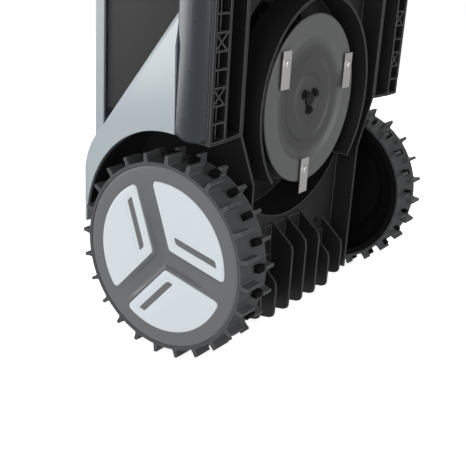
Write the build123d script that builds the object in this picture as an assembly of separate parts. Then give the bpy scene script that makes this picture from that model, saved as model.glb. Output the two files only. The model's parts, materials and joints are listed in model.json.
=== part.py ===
from build123d import *
import math
import os

# Robotic lawn mower, in millimetres. It stands upright on its wheels: +Z up, front towards -Y,
# its own right side towards -X. The origin is the middle of its footprint, on the ground.

# ---- driving dimensions ---------------------------------------------------------------------
LENGTH = 600.0            # bumper face to the rear cleat tips
WHEEL_R = 110.0           # rear wheel over its cleats
WHEEL_OUT = 202.5         # outer face of a rear wheel from the centre line
WHEEL_W = 46.0            # rear wheel width
WALL = 3.0                # usual moulded wall
GAP = 0.4                 # clearance between neighbouring mouldings
RUN = 0.05                # radial running clearance of a shaft in its hole

HALF_L = LENGTH / 2
AXLE_Y = HALF_L - WHEEL_R
AXLE_Z = WHEEL_R

# rear wheel
BAND_R = 100.8            # tread band between the cleats
SEAT_R = 97.5             # rim and cap radius inside the tread band
CLEATS = 24               # cleats in each of the two rows
CLEAT_STEP = 360.0 / CLEATS
CLEAT_PHASE = 2.0         # first outer cleat, from straight back towards up
CAP_T = 8.0               # hub cap thickness
FACE_R = 81.6             # outer radius of the pockets for the three pale inserts
SPOKE_HALF = 7.5          # half-width of the sunk spokes between the pads
SPOKE_DEPTH = 4.5
PAD_RIM = 3.9             # rim of each pad around its insert
INSERT_T = 1.6
SPOKE_ANGLE = 41.5        # first spoke, from straight back towards up
MID = WHEEL_W / 2         # the two cleat rows meet here
LUG_DEPTH0 = MID + 0.5    # rim lugs, depth from the wheel's outer face ...
LUG_DEPTH1 = MID + 10.5   # ... to here
SLOT_L = 55.0
SLOT_W = 7.0
SLOT_OFF = 25.5           # slot's centre line from the spoke's
SLOT_START = 7.5          # slot's inner end, measured along the spoke from the axle
AXLE_R = 6.0
BEARING_R = 13.0

# chassis
BELLY_Z = 84.0            # underside of the belly plate
SKID_Z = 57.0             # bottom edge of the walls around the belly
TUB_TOP = 238.0
TUB_HALF_REAR = 118.0     # half-width between the rear wheels
TUB_HALF_FRONT = 146.5    # half-width ahead of the rear wheels
TUB_FRONT = -275.0
TUB_REAR = 285.0
NOTCH_Y0 = 60.0           # the tub narrows from here ...
NOTCH_Y1 = 118.0          # ... to here
BELLY_SCREW_X = 77.0
BELLY_SCREW_Y = 212.0
PAD_HALF = 60.0           # plate-like pad on the belly, ahead of the deck
PAD_FRONT, PAD_REAR = -170.0, -115.0
PAD_T = 1.0

# comb guard at the rear
FIN_PITCH = 30.8
FIN_T = 2.8
FIN_EDGE_Z = 52.0         # long lower edge of the fins
FIN_START = 185.5         # front root of the three middle fins
FIN_END = 296.0
COMB_TOP = 134.0
FIN_SETBACKS = [0.0, 0.0, 35.0, 26.0]   # how much further back each fin starts, from the middle outwards
FIN_SHORTER = [0.0, 0.0, 0.0, 9.0]      # how much earlier its lower edge ends

# mowing deck
DECK_Y = 43.0             # deck centre on the centre line
WELL_R = 140.0            # round recess over the deck
WELL_TOP = 135.0
GUARD_R = 117.0
GUARD_LIP_Z = 54.0
GUARD_OPEN = 47.0         # half-angle of the guard's opening at the rear
DECK_TOP = 92.0
DISC_R = 95.0
DISC_Z = 63.0             # lower face of the disc's outer ring
BLADES = 3
BLADE_L = 41.0
BLADE_W = 16.5
BLADE_T = 1.0
BLADE_Z = 59.5
PIVOT_R = 80.0            # blade pivots from the disc's centre
PIVOT_ANGLE = 95.8        # first pivot, from the mower's left towards its rear
PIVOT_INSET = 13.5        # pivot to the blade's inner end
HUB_SCREW_R = 12.0
HUB_SCREW_ANGLE = 90.0
SCREW_Y = -45.0           # height adjusting screw
SCREW_R = 5.0
POST_X = 75.0             # deck guide posts
POST_R = 9.0
MOTOR_R = 25.0            # blade motor
SHAFT_R = 4.0             # and its shaft

# sides
RAIL_OUT = 204.5
RAIL_Z = 53.0
RAIL_TOP = 96.0
RAIL_FRONT = -172.0
RAIL_REAR = 60.0
SKIRT_IN = 203.0          # the skirt clads the rail from here outwards
SKIRT_OUT = 206.0
SKIRT_FRONT = -190.0
SKIRT_Z0 = 57.0
SKIRT_Z1 = 98.0
ARCH_Y = AXLE_Y - 12.0    # centre of the fender's arch
ARCH_Z = AXLE_Z - 4.0
ARCH_R = 121.0
FENDER_TOP = 229.6
FENDER_REAR = 181.0
FENDER_LOW_X = 201.0      # side panel at its lower edge ...
FENDER_HIGH_X = 190.0     # ... and at its top
RIB_X0 = RAIL_OUT - 4.0   # ribbed channel of the rail, outer side ...
RIB_X1 = RAIL_OUT - 23.5  # ... and inner side
RIB_CELL = 17.0
RIB_T = 1.6
SHOULDER_X = 195.5        # rail and skirt lean inwards to here ...
SHOULDER_Z = 80.0         # ... from here upwards
SPLIT_Z = SKIRT_Z1 + GAP  # lower edge of the fender and of the black side panel
TRIM_FRONT = -196.0

# top cover
COVER_HALF = 150.0
COVER_RIM_Z = 241.0
COVER_EDGE_Z = 253.0
COVER_CROWN_Z = 272.0
COVER_NOSE = -292.0
COVER_TAIL = 290.0
NOSE_Z = 163.0            # lower edge of the cover's nose, over the bumper
PANEL_Y0, PANEL_Y1 = 105.0, 205.0
PANEL_HALF = 62.0
PANEL_Z = 263.0
STOP_Y = 137.0
STOP_R = 17.0
KEY_Y = 183.0
KEY_SIZE = 15.0
KEY_PITCH = 26.0
KEY_NAMES = ["key_power", "key_home", "key_start", "key_confirm"]
KNOB_R = 21.0

# front
BUMPER_HALF = 198.0
BUMPER_Z0 = 74.0
BUMPER_Z1 = 160.0
BUMPER_REAR = -202.0
CASTER_X = 115.0
CASTER_Y = -235.0
CASTER_R = 35.0
CASTER_W = 22.0
CASTER_AXLE_R = 4.0
STEM_R = 7.0
TRAIL = 20.0
GUIDE_X = 90.0            # pins that the bumper slides on
GUIDE_Z = 120.0
GUIDE_R = 4.0
GUIDE_TIP = -288.0        # leaves the bumper room for its travel
CONTACT_X0, CONTACT_X1 = 14.0, 34.0
CONTACT_Z0, CONTACT_Z1 = 92.0, 124.0
WINDOW_HALF = 64.0
WINDOW_Z0, WINDOW_Z1 = 172.0, 200.0
LENS_X = 34.0

parts = {}


# ---- helpers --------------------------------------------------------------------------------
def block(x0, x1, y0, y1, z0, z1):
    """Box between two corners."""
    return Pos((x0 + x1) / 2, (y0 + y1) / 2, (z0 + z1) / 2) * Box(abs(x1 - x0), abs(y1 - y0), abs(z1 - z0))


def rod_x(r, x0, x1, y, z):
    """Cylinder along X."""
    return Pos((x0 + x1) / 2, y, z) * Rot(0, 90, 0) * Cylinder(r, abs(x1 - x0))


def rod_y(r, y0, y1, x, z):
    """Cylinder along Y."""
    return Pos(x, (y0 + y1) / 2, z) * Rot(90, 0, 0) * Cylinder(r, abs(y1 - y0))


def rod_z(r, z0, z1, x, y):
    """Cylinder along Z."""
    return Pos(x, y, (z0 + z1) / 2) * Cylinder(r, abs(z1 - z0))


def prism_x(points, x0, x1):
    """Outline of (y, z) points, extruded along X."""
    face = make_face(Plane.YZ.offset(x0) * Polyline(points, close=True))
    return extrude(face, x1 - x0, dir=(1, 0, 0))


def prism_y(points, y0, y1):
    """Outline of (x, z) points, extruded along Y."""
    face = make_face(Plane.XZ.offset(-y0) * Polyline(points, close=True))
    return extrude(face, y1 - y0, dir=(0, 1, 0))


def prism_z(points, z0, z1):
    """Outline of (x, y) points, extruded along Z."""
    face = make_face(Plane.XY.offset(z0) * Polyline(points, close=True))
    return extrude(face, z1 - z0, dir=(0, 0, 1))


def outline(plane, *curves):
    """Face inside curves drawn in a plane."""
    return make_face([plane * curve for curve in curves])


def pair(name, right):
    """Keep a right-hand piece (-X side) and its mirror image."""
    parts[name + "_right"] = right
    parts[name + "_left"] = mirror(right, about=Plane.YZ)


def polar(radius, degrees):
    """Point of a circle about the origin."""
    return radius * math.cos(math.radians(degrees)), radius * math.sin(math.radians(degrees))


# ---- rear wheel (right side; the left is its mirror image) -----------------------------------
def wheel_x(depth):
    """X of a point that lies 'depth' inside the right wheel's outer face."""
    return -WHEEL_OUT + depth


def on_wheel(shape, degrees):
    """Turn a piece drawn at the axle's origin and put it on the rear axle."""
    return Pos(0, AXLE_Y, AXLE_Z) * Rot(degrees, 0, 0) * shape


def cleat(depth0, depth1, degrees):
    """One cleat: a thin plate across half the tread, thicker at its root."""
    root = BAND_R - 1.0
    tip = WHEEL_R - 0.02
    half = [(root, 3.4), (root + 3.0, 2.1), (tip, 1.7)]
    section = half + [(y, -z) for y, z in reversed(half)]
    return on_wheel(prism_x(section, wheel_x(depth0), wheel_x(depth1)), degrees)


def rim_lug(degrees):
    """One black lug of the rim that keys through the tyre beside an inner cleat."""
    lug = block(wheel_x(LUG_DEPTH0), wheel_x(LUG_DEPTH1), SEAT_R - 2, WHEEL_R - 2.5, -3.6, 3.6)
    return on_wheel(lug, degrees)


outer_angles = [CLEAT_PHASE + CLEAT_STEP * i for i in range(CLEATS)]
inner_angles = [angle + CLEAT_STEP / 2 for angle in outer_angles]


def build_rim():
    """Rim with a dished inner side, a hub and the lugs that key through the tyre."""
    rim = rod_x(SEAT_R, wheel_x(CAP_T), wheel_x(WHEEL_W), AXLE_Y, AXLE_Z)
    web_in = wheel_x(24)
    dish = make_face(Polyline([
        (web_in, 0), (web_in, 62), (wheel_x(30), 70), (wheel_x(36), 88), (wheel_x(WHEEL_W + 1), 90),
        (wheel_x(WHEEL_W + 1), 0)], close=True))
    rim -= Pos(0, AXLE_Y, AXLE_Z) * revolve(dish, Axis.X)
    rim -= rod_x(86, wheel_x(CAP_T), wheel_x(19), AXLE_Y, AXLE_Z)
    rim += rod_x(20, wheel_x(CAP_T), wheel_x(42), AXLE_Y, AXLE_Z)
    rim += [rim_lug(angle) for angle in inner_angles]
    rim -= rod_x(AXLE_R, wheel_x(CAP_T), wheel_x(50), AXLE_Y, AXLE_Z)
    return rim


def build_tyre():
    """Rubber tread band with two staggered rows of cleats."""
    tyre = rod_x(BAND_R, wheel_x(0), wheel_x(WHEEL_W), AXLE_Y, AXLE_Z)
    tyre += [cleat(0, MID, angle) for angle in outer_angles]
    tyre += [cleat(LUG_DEPTH1, WHEEL_W, angle) for angle in inner_angles]
    tyre -= rod_x(SEAT_R, wheel_x(-1), wheel_x(WHEEL_W + 1), AXLE_Y, AXLE_Z)
    tyre -= [rim_lug(angle) for angle in inner_angles]
    return tyre


def sector_face(spoke_half, radius, corner):
    """One rounded third of a disc between two spokes, in the YZ plane about the axle."""
    reach = 2 * FACE_R
    turn = math.radians(60)
    corner_at = spoke_half / math.sin(turn)
    far = (corner_at + reach * math.cos(turn), reach * math.sin(turn))
    wedge = make_face(Polyline([(corner_at, 0), far, (far[0], -far[1])], close=True))
    sector = wedge & Circle(radius)
    return fillet(sector.vertices(), corner)


def sector_solid(spoke_half, radius, corner, depth0, depth1, degrees):
    """The same third as a solid, between two depths from the wheel's outer face."""
    face = Plane.YZ.offset(wheel_x(depth0)) * sector_face(spoke_half, radius, corner)
    return on_wheel(extrude(face, depth1 - depth0, dir=(1, 0, 0)), degrees)


SECTOR_ANGLES = [SPOKE_ANGLE + 60 + 120 * i for i in range(3)]


def build_hub_cap():
    """Cap with three sunk spokes between raised pads, and a pocket in each pad for its insert."""
    cap = rod_x(SEAT_R - 0.1, wheel_x(0), wheel_x(CAP_T), AXLE_Y, AXLE_Z)
    valley = rod_x(FACE_R, wheel_x(-1), wheel_x(SPOKE_DEPTH), AXLE_Y, AXLE_Z)
    valley -= [sector_solid(SPOKE_HALF, FACE_R + 1, 5, -2, SPOKE_DEPTH + 1, angle) for angle in SECTOR_ANGLES]
    cap -= valley
    pocket = SPOKE_HALF + PAD_RIM
    cap -= [sector_solid(pocket, FACE_R, 5, 0, INSERT_T, angle) for angle in SECTOR_ANGLES]
    return cap


def insert_slot(degrees):
    """Dark slot of one insert, parallel to the spoke at its higher angle."""
    slot = Box(10, SLOT_L, SLOT_W)
    along = SLOT_START + SLOT_L / 2
    return on_wheel(Rot(60, 0, 0) * Pos(wheel_x(3), along, -SLOT_OFF) * slot, degrees)


def build_inserts():
    """The three pale inserts, each with its slot."""
    solids = []
    for angle in SECTOR_ANGLES:
        plate = sector_solid(SPOKE_HALF + PAD_RIM + 0.2, FACE_R - 0.2, 5, 0.1, INSERT_T, angle)
        solids.append(plate - insert_slot(angle))
    return Compound(children=solids)


def build_rear_wheels():
    pair("rim", build_rim())
    pair("tyre", build_tyre())
    pair("hub_cap", build_hub_cap())
    pair("hub_insert", build_inserts())
    pair("axle_shaft", rod_x(AXLE_R, wheel_x(CAP_T), -76, AXLE_Y, AXLE_Z))


# ---- chassis --------------------------------------------------------------------------------
def plan(inset):
    """Plan outline of the tub, drawn in by 'inset'."""
    front, rear = TUB_HALF_FRONT - inset, TUB_HALF_REAR - inset
    half = [(front, TUB_FRONT + inset), (front, NOTCH_Y0), (rear, NOTCH_Y1), (rear, TUB_REAR - inset)]
    return half + [(-x, y) for x, y in reversed(half)]


def cover_profile(grow):
    """Side profile of the top cover, drawn in by -grow and as wide as the machine."""
    front, rear = COVER_NOSE - grow, COVER_TAIL + grow
    nose, tail = (front, 202 + grow), (rear, 218 + grow)
    over = Spline([nose, (-255, 244 + grow), (-120, 270 + grow), (60, 274 + grow), (200, 264 + grow), tail])
    face = outline(Plane.YZ.offset(-300), Polyline([tail, (rear, 100), (front, 100), nose]), over)
    return extrude(face, 600, dir=(1, 0, 0))


def cover_envelope(grow):
    """Solid under the top cover's outer surface, drawn in by -grow."""
    edge, crown = COVER_EDGE_Z + grow, COVER_CROWN_Z + grow
    half = COVER_HALF + grow
    section = outline(
        Plane.XZ.offset(400), Polyline([(half, edge), (half, 100), (-half, 100), (-half, edge)]),
        ThreePointArc((-half, edge), (0, crown), (half, edge)))
    return extrude(section, 800, dir=(0, 1, 0)) & cover_profile(grow)


def bearing_seats(tub):
    """Bosses in the side walls for the axle bearings."""
    for side in (-1, 1):
        tub += rod_x(BEARING_R + 7, side * (TUB_HALF_REAR - 8), side * TUB_HALF_REAR, AXLE_Y, AXLE_Z)
        tub -= rod_x(BEARING_R, side * (TUB_HALF_REAR - 28), side * (TUB_HALF_REAR + 12), AXLE_Y, AXLE_Z)
    return tub


def caster_sockets(tub):
    """Blind sockets for the stems of the casters."""
    for side in (-1, 1):
        tub += rod_z(STEM_R + 9, BELLY_Z, BELLY_Z + 40, side * CASTER_X, CASTER_Y)
        tub -= rod_z(STEM_R + RUN, 0, BELLY_Z + 36, side * CASTER_X, CASTER_Y)
    return tub


def post_collars(tub):
    """Collars in the well's roof that the deck's guide posts slide in."""
    for side in (-1, 1):
        tub += rod_z(POST_R + 6, WELL_TOP - 7, WELL_TOP + 12, side * POST_X, DECK_Y)
        tub -= rod_z(POST_R + RUN, 0, 200, side * POST_X, DECK_Y)
    return tub


def build_tub():
    """Belly tub: one shell with the walls around the belly, the deck's well and the bearing seats."""
    tub = prism_z(plan(0), BELLY_Z, TUB_TOP) - prism_z(plan(WALL), BELLY_Z + WALL, TUB_TOP + 1)
    # skirt walls below the belly, open at the front where the casters turn
    rim = prism_z(plan(0), SKID_Z, BELLY_Z) - prism_z(plan(WALL), SKID_Z - 1, BELLY_Z + 1)
    rim -= block(-200, 200, -400, RAIL_FRONT, 0, BELLY_Z)
    rim -= block(-200, 200, TUB_REAR - WALL - 1, 400, 0, BELLY_Z)
    tub += rim
    # round recess over the mowing deck
    tub += rod_z(WELL_R + WALL, BELLY_Z, WELL_TOP + WALL, 0, DECK_Y) & prism_z(plan(1), 0, 400)
    tub -= rod_z(WELL_R, 0, WELL_TOP, 0, DECK_Y) & prism_z(plan(WALL), 0, 400)
    # openings in the well's roof for the blade motor and the height screw
    tub -= rod_z(MOTOR_R + 9, 0, 200, 0, DECK_Y)
    tub -= rod_z(SCREW_R + 7, 0, 200, 0, SCREW_Y)
    tub = caster_sockets(bearing_seats(post_collars(tub)))
    tub += block(-PAD_HALF, PAD_HALF, PAD_FRONT, PAD_REAR, BELLY_Z - PAD_T, BELLY_Z)
    for side in (-1, 1):
        tub -= rod_z(2.2, BELLY_Z - 1, BELLY_Z + 2.4, side * BELLY_SCREW_X, BELLY_SCREW_Y)
    tub -= block(-300, 300, -400, 400, 100, 400) - cover_profile(-WALL - GAP)
    return tub


def build_bearings():
    """A ring bearing in each side wall of the tub."""
    rings = []
    for side in (-1, 1):
        ring = rod_x(BEARING_R, side * (TUB_HALF_REAR - 8), side * TUB_HALF_REAR, AXLE_Y, AXLE_Z)
        rings.append(ring - rod_x(AXLE_R + RUN, side * 100, side * 130, AXLE_Y, AXLE_Z))
    return Compound(children=rings)


# ---- comb guard at the rear -------------------------------------------------------------------
def fin(index):
    """One fin of the comb, parallel to the travel direction."""
    start = FIN_START + FIN_SETBACKS[abs(index)]
    end = FIN_END - FIN_SHORTER[abs(index)]
    outline_yz = [
        (start, BELLY_Z), (start + 19.5, 59.3), (start + 24.5, 54), (start + 32.5, FIN_EDGE_Z),
        (end - 11, FIN_EDGE_Z), (end - 7, 53.5), (end - 4.5, 58), (end - 3, 68), (end, 100), (FIN_END, 122),
        (TUB_REAR + GAP, COMB_TOP), (TUB_REAR + GAP, BELLY_Z)]
    x = index * FIN_PITCH
    return prism_x(outline_yz, x - FIN_T / 2, x + FIN_T / 2)


def build_comb():
    """Row of fins that keeps fingers and stones away, on one L-shaped base."""
    last = len(FIN_SETBACKS) - 1
    half = last * FIN_PITCH + FIN_T / 2
    base_front = FIN_START + max(FIN_SETBACKS) + 6
    base = 2.5
    comb = block(-half, half, base_front, TUB_REAR + GAP + base, BELLY_Z - base, BELLY_Z)
    comb += block(-half, half, TUB_REAR + GAP, TUB_REAR + GAP + base, BELLY_Z - base, COMB_TOP)
    comb += block(-FIN_PITCH * 1.5, FIN_PITCH * 1.5, FIN_START + 4, base_front + 1, BELLY_Z - 1.2, BELLY_Z)
    comb += [fin(index) for index in range(-last, last + 1)]
    return comb


# ---- sides ------------------------------------------------------------------------------------
def build_rail():
    """Skid rail, open underneath: a plain inner channel and an outer one with crossed ribs."""
    inner = -TUB_HALF_FRONT
    section = [(inner, SKID_Z), (-RIB_X1 + 3, RAIL_Z), (-RAIL_OUT, RAIL_Z), (-RAIL_OUT, SKIRT_Z0 - GAP),
               (-SKIRT_IN + GAP, SKIRT_Z0 - GAP), (-SKIRT_IN + GAP, SHOULDER_Z), (-SHOULDER_X, RAIL_TOP),
               (inner, RAIL_TOP)]
    rail = prism_y(section, RAIL_FRONT, RAIL_REAR)
    rail -= block(-RIB_X0, -RIB_X1, RAIL_FRONT + 4, RAIL_REAR - 3, RAIL_Z - 1, RAIL_Z + 24)
    rail -= block(-RIB_X1 + 3, inner - 3, RAIL_FRONT + 4, RAIL_REAR - 3, RAIL_Z - 1, RAIL_TOP - 4)
    cells = int((RAIL_REAR - RAIL_FRONT - 7) // RIB_CELL)
    middle = -(RIB_X0 + RIB_X1) / 2
    width = RIB_X0 - RIB_X1
    slant = math.degrees(math.atan2(RIB_CELL, width))
    ribs = [block(middle + 2.5, middle + 3.7, RAIL_FRONT + 3, RAIL_REAR - 2, RAIL_Z + 6, RAIL_Z + 25)]
    for i in range(cells):
        y = RAIL_REAR - 3 - RIB_CELL * (i + 1)
        ribs.append(block(-RIB_X0 - 1, -RIB_X1 + 1, y - RIB_T / 2, y + RIB_T / 2, RAIL_Z + 1.5, RAIL_Z + 25))
        if i % 3 == 2:
            for turn in (slant, -slant):
                rib = Box(math.hypot(RIB_CELL, width), RIB_T, 23)
                ribs.append(Pos(middle, y + RIB_CELL / 2, RAIL_Z + 13) * Rot(0, 0, turn) * rib)
    keep = block(-RAIL_OUT + 1, inner - 1, RAIL_FRONT + 1, RAIL_REAR - 1, RAIL_Z + 1, RAIL_TOP - 1)
    return rail + [rib & keep for rib in ribs]


def build_skirt():
    """Glossy slate skirt along the side, bulged outwards and rounded at its rear end."""
    foot, head = (-RAIL_OUT, SKIRT_Z0), (-FENDER_LOW_X, SKIRT_Z1)
    section = outline(
        Plane.XZ.offset(-SKIRT_FRONT),
        Polyline([head, (-SHOULDER_X, SKIRT_Z1), (-SHOULDER_X - 1, RAIL_TOP + GAP),
                  (-SKIRT_IN, SHOULDER_Z + 2), (-SKIRT_IN, SKIRT_Z0), foot]),
        ThreePointArc(foot, (-SKIRT_OUT, 76), head))
    skirt = extrude(section, RAIL_REAR - SKIRT_FRONT, dir=(0, 1, 0))
    low, high = (RAIL_REAR - 6, SKIRT_Z0 - 1), (RAIL_REAR - 6, SKIRT_Z1 + 1)
    rounded = outline(
        Plane.YZ.offset(-SKIRT_OUT - 1),
        Polyline([high, (SKIRT_FRONT, SKIRT_Z1 + 1), (SKIRT_FRONT, SKIRT_Z0 - 1), low]),
        ThreePointArc(low, (RAIL_REAR, (SKIRT_Z0 + SKIRT_Z1) / 2), high))
    return skirt & extrude(rounded, 20, dir=(1, 0, 0))


def fender_outline(inset):
    """Upper edge of the fender in (y, z): the forward diagonal, the bend and the flat top."""
    bend = ThreePointArc((70, 203 - inset), (90, 219.6 - inset), (118, FENDER_TOP - inset))
    points = [bend @ (i / 6) for i in range(7)]
    return [(-61 + inset * 1.6, SPLIT_Z)] + [(p.X, p.Y) for p in points] + [
        (FENDER_REAR, FENDER_TOP - inset)]


def build_fender():
    """Pale side panel over and ahead of the wheel, with a top ledge that covers the wheel."""
    arch = rod_x(ARCH_R, -260, -100, ARCH_Y, ARCH_Z)
    below = [(FENDER_REAR, SPLIT_Z)]
    panel = prism_x(fender_outline(0) + below, -FENDER_LOW_X, -FENDER_LOW_X + WALL)
    lean = math.degrees(math.atan2(FENDER_LOW_X - FENDER_HIGH_X, FENDER_TOP - SPLIT_Z))
    panel = Pos(-FENDER_LOW_X, 0, SPLIT_Z) * Rot(0, lean, 0) * Pos(
        FENDER_LOW_X, 0, -SPLIT_Z) * panel
    outer = fender_outline(0)
    inner = fender_outline(WALL)
    band = prism_x(outer + list(reversed(inner)), -FENDER_LOW_X, -158)
    keep = prism_y([(-FENDER_LOW_X, SPLIT_Z), (-FENDER_HIGH_X, FENDER_TOP + 1), (-150, FENDER_TOP + 1),
                    (-150, SPLIT_Z)], -100, 300)
    band &= keep
    fender = panel + band
    fender -= block(-300, 0, FENDER_REAR, 400, 0, 400)
    fender -= block(-300, 0, -100, 400, 0, SPLIT_Z)
    return fender - arch


def side_slope(z):
    """X of the black side panel at a height."""
    low, high = FENDER_LOW_X - 3.5, COVER_HALF - WALL - GAP
    share = (z - SPLIT_Z) / (COVER_RIM_Z - SPLIT_Z)
    return -low + share * (low - high)


def build_side_trim(fender, cover):
    """Black inset side panel with the wheel-well liner."""
    top = COVER_EDGE_Z - 5
    inner = -TUB_HALF_FRONT - GAP
    slope = [(side_slope(SPLIT_Z), SPLIT_Z), (side_slope(COVER_RIM_Z), COVER_RIM_Z),
             (side_slope(COVER_RIM_Z), top)]
    trim = prism_y(slope + [(x + WALL, z) for x, z in reversed(slope)], TRIM_FRONT, TUB_REAR - 40)
    end = [slope[0], slope[1], (inner, COVER_RIM_Z), (inner, SPLIT_Z)]
    trim += prism_y(end, TRIM_FRONT, TRIM_FRONT + WALL)
    trim += block(slope[0][0], inner, TRIM_FRONT, RAIL_REAR - 6, SPLIT_Z, SPLIT_Z + 2)
    trim -= block(inner, 0, -400, 400, 0, TUB_TOP + GAP)
    trim -= rod_x(ARCH_R + 0.3, -260, -100, ARCH_Y, ARCH_Z)
    trim -= block(-300, 0, ARCH_Y, 400, 0, ARCH_Z + 60)
    liner = rod_x(ARCH_R + WALL, -FENDER_HIGH_X + WALL + 1, -TUB_HALF_REAR - GAP, ARCH_Y, ARCH_Z)
    liner -= rod_x(ARCH_R + 0.3, -260, -100, ARCH_Y, ARCH_Z)
    liner -= block(-300, 0, 0, 400, 0, SPLIT_Z)
    liner -= block(-300, -COVER_HALF, ARCH_Y, 400, 0, 400)
    liner -= block(-300, 0, ARCH_Y, 400, 0, ARCH_Z + 60)
    liner -= prism_z(plan(-GAP), 0, TUB_TOP)
    trim += liner
    trim -= fender
    trim -= cover
    return trim.solids().sort_by(SortBy.VOLUME)[-1]


def build_sides():
    pair("side_rail", build_rail())
    pair("side_skirt", build_skirt())
    fender = build_fender()
    pair("rear_fender", fender)
    pair("side_trim", build_side_trim(fender, parts["top_cover"]))


# ---- top cover and controls -------------------------------------------------------------------
def key_x(i):
    """X of one key in the row."""
    return (i - (len(KEY_NAMES) - 1) / 2) * KEY_PITCH


def build_cover():
    """Crowned shell over the whole machine."""
    cover = cover_envelope(0) - cover_envelope(-WALL)
    # the lower edge follows the sides, then drops to the bumper at the nose and behind
    cut = [(-400, NOSE_Z), (TRIM_FRONT - 10, NOSE_Z), (TRIM_FRONT, COVER_RIM_Z), (226, COVER_RIM_Z),
           (246, 206), (400, 206), (400, 0), (-400, 0)]
    cover -= prism_x(cut, -400, 400)
    cover -= block(-PANEL_HALF - GAP, PANEL_HALF + GAP, PANEL_Y0 - GAP, PANEL_Y1 + GAP, 200, 400)
    cover -= rod_z(KNOB_R + 0.6, 200, 400, 0, SCREW_Y)
    cover -= block(-WINDOW_HALF, WINDOW_HALF, -400, -200, WINDOW_Z0, WINDOW_Z1)
    return cover.solids().sort_by(SortBy.VOLUME)[-1]


def build_panel():
    """Control panel with pockets for the stop button and the keys."""
    panel = block(-PANEL_HALF, PANEL_HALF, PANEL_Y0, PANEL_Y1, PANEL_Z - 9, PANEL_Z)
    panel = fillet(panel.edges().filter_by(Axis.Z), 8)
    panel -= rod_z(STOP_R + 0.4, PANEL_Z - 6, PANEL_Z + 1, 0, STOP_Y)
    for i in range(len(KEY_NAMES)):
        half = KEY_SIZE / 2 + 0.4
        panel -= block(key_x(i) - half, key_x(i) + half, KEY_Y - half, KEY_Y + half, PANEL_Z - 4, PANEL_Z + 1)
    return panel


def build_controls():
    """Panel, stop button, keys and the height knob with its screw."""
    parts["control_panel"] = build_panel()
    button = rod_z(STOP_R, PANEL_Z - 1, PANEL_Z + 9, 0, STOP_Y)
    parts["stop_button"] = fillet(button.edges().sort_by(Axis.Z)[-1], 3)
    for i, name in enumerate(KEY_NAMES):
        key = Pos(key_x(i), KEY_Y, PANEL_Z + 0.35) * Box(KEY_SIZE, KEY_SIZE, 3.7)
        parts[name] = fillet(key.edges().filter_by(Axis.Z), 2)
    knob = rod_z(KNOB_R, 256, COVER_CROWN_Z + 4, 0, SCREW_Y)
    knob = fillet(knob.edges().sort_by(Axis.Z)[-1], 2)
    for i in range(12):
        x, y = polar(KNOB_R + 1.2, 30 * i)
        knob -= rod_z(2.6, 250, 300, x, SCREW_Y + y)
    parts["height_knob"] = knob
    parts["lift_screw"] = rod_z(SCREW_R, 105, 256, 0, SCREW_Y) + rod_z(SCREW_R + 2.5, 168, 172, 0, SCREW_Y)


# ---- mowing deck ------------------------------------------------------------------------------
def build_deck_housing():
    """Round housing with the guard ring, which is open towards the rear."""
    deck = rod_z(GUARD_R, GUARD_LIP_Z, DECK_TOP, 0, DECK_Y)
    deck -= rod_z(GUARD_R - 3, GUARD_LIP_Z - 1, DECK_TOP - 3, 0, DECK_Y)
    reach = 200
    spread = reach * math.tan(math.radians(GUARD_OPEN))
    opening = [(0, DECK_Y), (spread, DECK_Y + reach), (-spread, DECK_Y + reach)]
    wedge = prism_z(opening, GUARD_LIP_Z - 1, DECK_TOP + 1)
    deck -= wedge - rod_z(DISC_R + 2, 0, 200, 0, DECK_Y)
    deck += rod_z(10, DECK_TOP - 1, DECK_TOP + 40, 0, SCREW_Y)
    deck -= rod_z(SCREW_R + RUN, 0, 200, 0, SCREW_Y)
    for side in (-1, 1):
        deck += rod_z(POST_R, DECK_TOP - 1, DECK_TOP + 76, side * POST_X, DECK_Y)
    deck -= rod_z(SHAFT_R + RUN, 0, 200, 0, DECK_Y)
    return deck


def build_disc():
    """Dished blade disc: outer ring, sunk middle and a flat centre."""
    low = [(SHAFT_R, 67), (26, 67), (30, 68.5), (46, 68.5), (50, 66.5), (66, 66.5), (71, DISC_Z),
           (DISC_R - 2, DISC_Z), (DISC_R, DISC_Z + 1)]
    high = [(r, z + 2.2) for r, z in low]
    face = make_face(Plane.XZ * Polyline(low + list(reversed(high)), close=True))
    disc = Pos(0, DECK_Y, 0) * revolve(face, Axis.Z)
    for i in range(BLADES):
        x, y = polar(PIVOT_R, PIVOT_ANGLE + 120 * i)
        disc += rod_z(5, BLADE_Z + BLADE_T + 0.3, DISC_Z + 0.5, x, DECK_Y + y)
        disc -= rod_z(2, 0, 100, x, DECK_Y + y)
    for i in range(3):
        x, y = polar(HUB_SCREW_R, HUB_SCREW_ANGLE + 120 * i)
        disc -= rod_z(1.6, 0, 100, x, DECK_Y + y)
    return disc


def build_disc_hub():
    """Three-armed black boss under the middle of the disc."""
    hub = rod_z(8, 64.5, 67, 0, DECK_Y)
    for i in range(3):
        angle = HUB_SCREW_ANGLE + 120 * i
        x, y = polar(HUB_SCREW_R, angle)
        hub += rod_z(5.5, 64.5, 67, x, DECK_Y + y)
        hub += Pos(x / 2, DECK_Y + y / 2, 65.75) * Rot(0, 0, angle) * Box(HUB_SCREW_R, 6, 2.5)
    for i in range(3):
        x, y = polar(HUB_SCREW_R, HUB_SCREW_ANGLE + 120 * i)
        hub -= rod_z(1.6, 0, 100, x, DECK_Y + y)
    return hub


def build_hub_screws():
    """Three socket-head screws through the hub and the disc."""
    screws = []
    for i in range(3):
        x, y = polar(HUB_SCREW_R, HUB_SCREW_ANGLE + 120 * i)
        head = rod_z(3.6, 61.9, 64.5, x, DECK_Y + y) - rod_z(1.5, 61, 63.4, x, DECK_Y + y)
        screws.append(head + rod_z(1.6, 64.4, 70, x, DECK_Y + y))
    return Compound(children=screws)


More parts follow.
